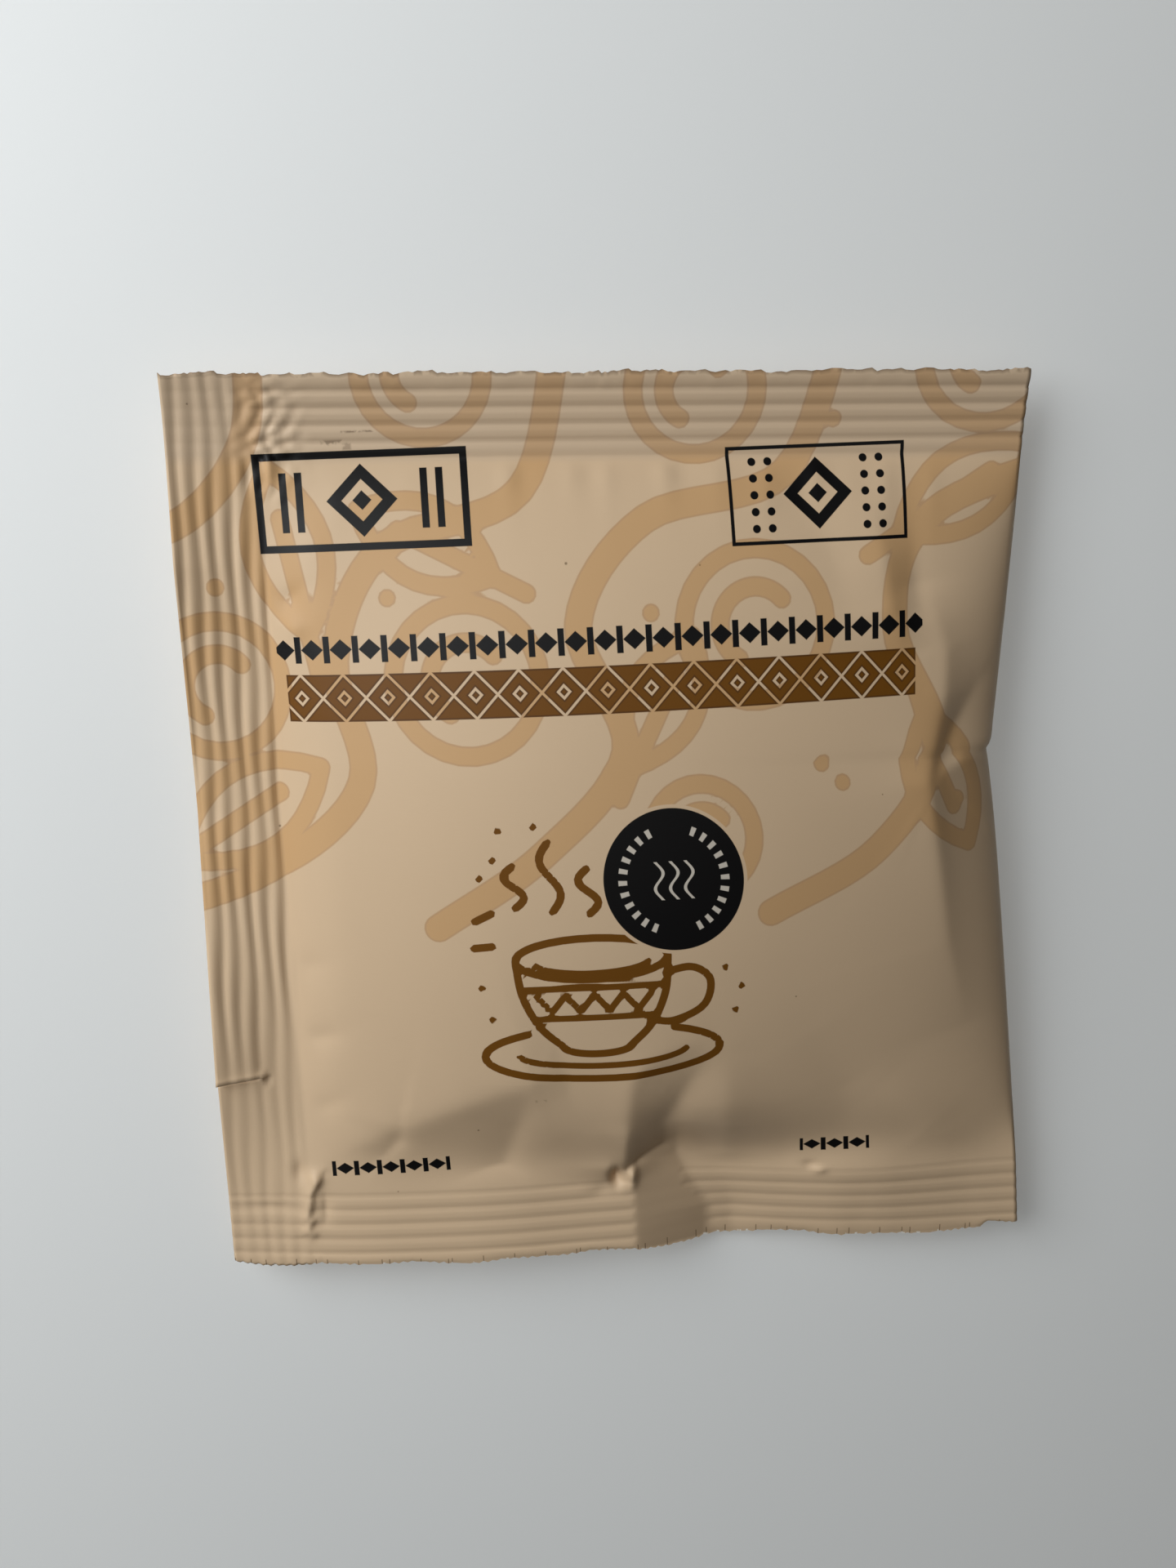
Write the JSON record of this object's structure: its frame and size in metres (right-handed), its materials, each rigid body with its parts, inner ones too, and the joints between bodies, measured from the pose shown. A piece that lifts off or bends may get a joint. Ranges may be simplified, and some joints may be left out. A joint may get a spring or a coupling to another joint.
{
  "type": "coffee brew bag sachet",
  "caption": "Sealed film sachet for a coffee brew bag: a puffed envelope with ribbed crimp seals, a folded side edge and a tear slit, lying on its back",
  "frame": {"origin": "On the plane the sachet rests on, under the middle of its outline", "axes": "+X from the crimped side seal to the folded side, +Y from the bottom seal to the top seal, +Z out of the printed front"},
  "size_m": [0.1062, 0.115, 0.0172],
  "materials": {
    "film": "matte laminate in beige with a printed front"
  },
  "bodies": {
    "root": {"sachet": "film"}
  },
  "joints": []
}
